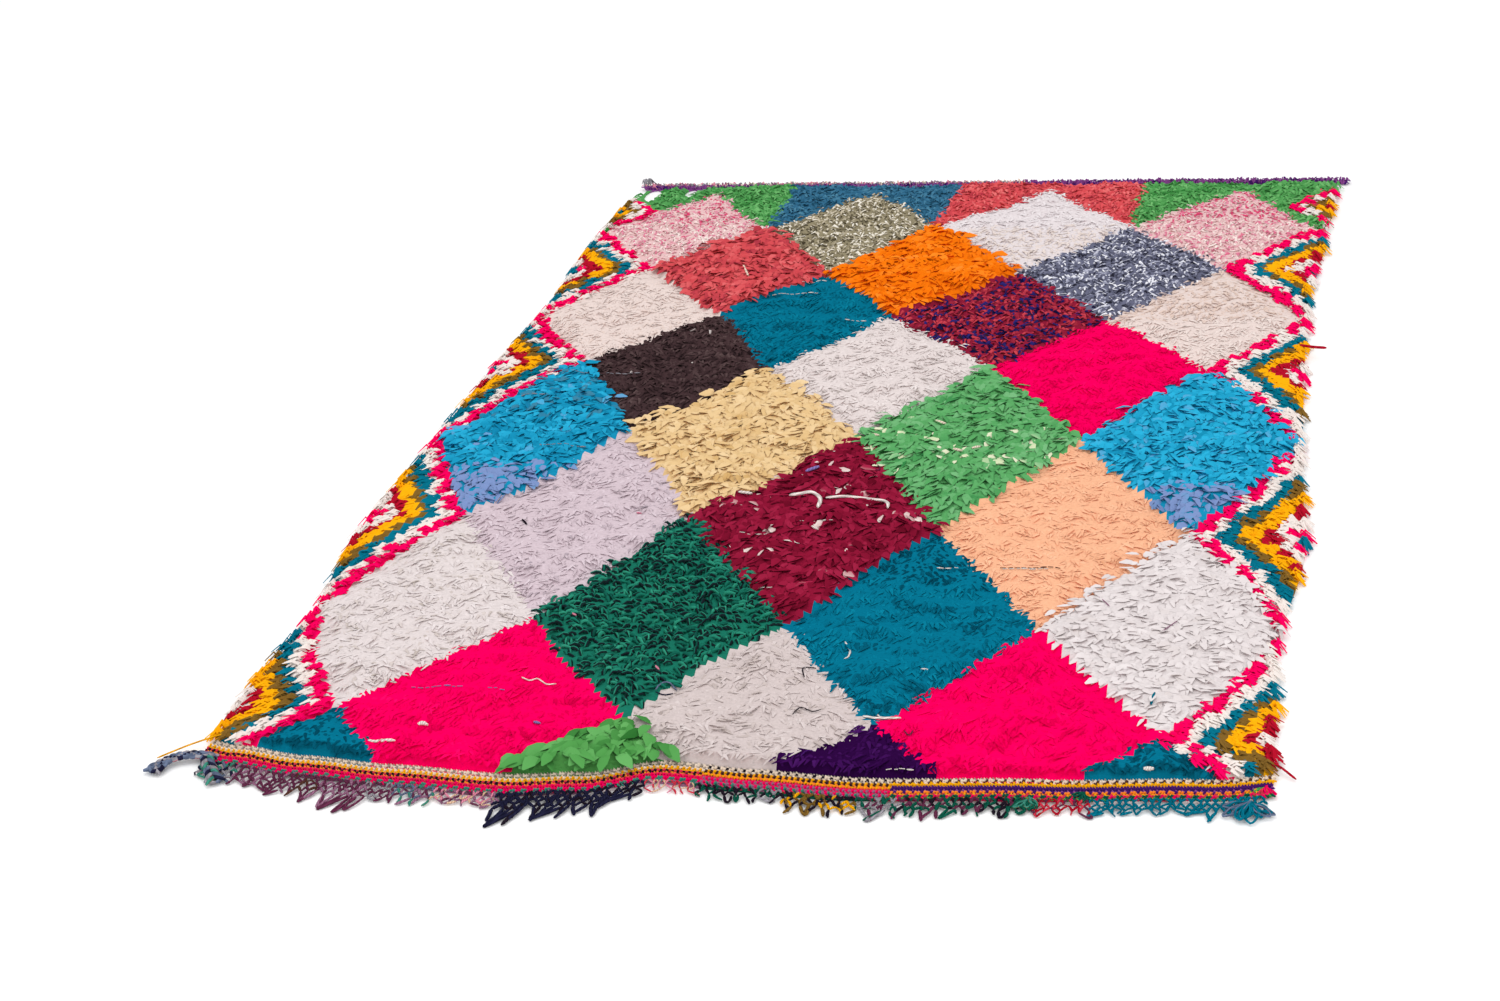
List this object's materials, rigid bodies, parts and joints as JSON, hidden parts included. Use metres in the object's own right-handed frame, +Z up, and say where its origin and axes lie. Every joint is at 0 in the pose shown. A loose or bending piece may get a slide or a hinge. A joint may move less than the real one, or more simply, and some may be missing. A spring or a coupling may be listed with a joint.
{
  "type": "boucherouite rug",
  "caption": "Flat shaggy rag rug with a lattice of coloured diamonds, flat-woven bands at both ends, a knotted near fringe and a tufted far edge.",
  "frame": {"origin": "on the floor under the middle of the rug's footprint", "axes": "+X across the rug to the right, +Y along its length from the fringed end to the tufted end, +Z up from the floor through the pile"},
  "size_m": [1.4355, 2.4329, 0.0298],
  "materials": {
    "pile": "shaggy rag and wool pile in many colours",
    "fringe_yarn": "knotted plied yarn in mixed dark colours",
    "edge_yarn": "short violet yarn ends"
  },
  "bodies": {
    "root": {"woven_rug": "pile", "near_fringe": "fringe_yarn", "far_tufts": "edge_yarn"}
  },
  "joints": []
}
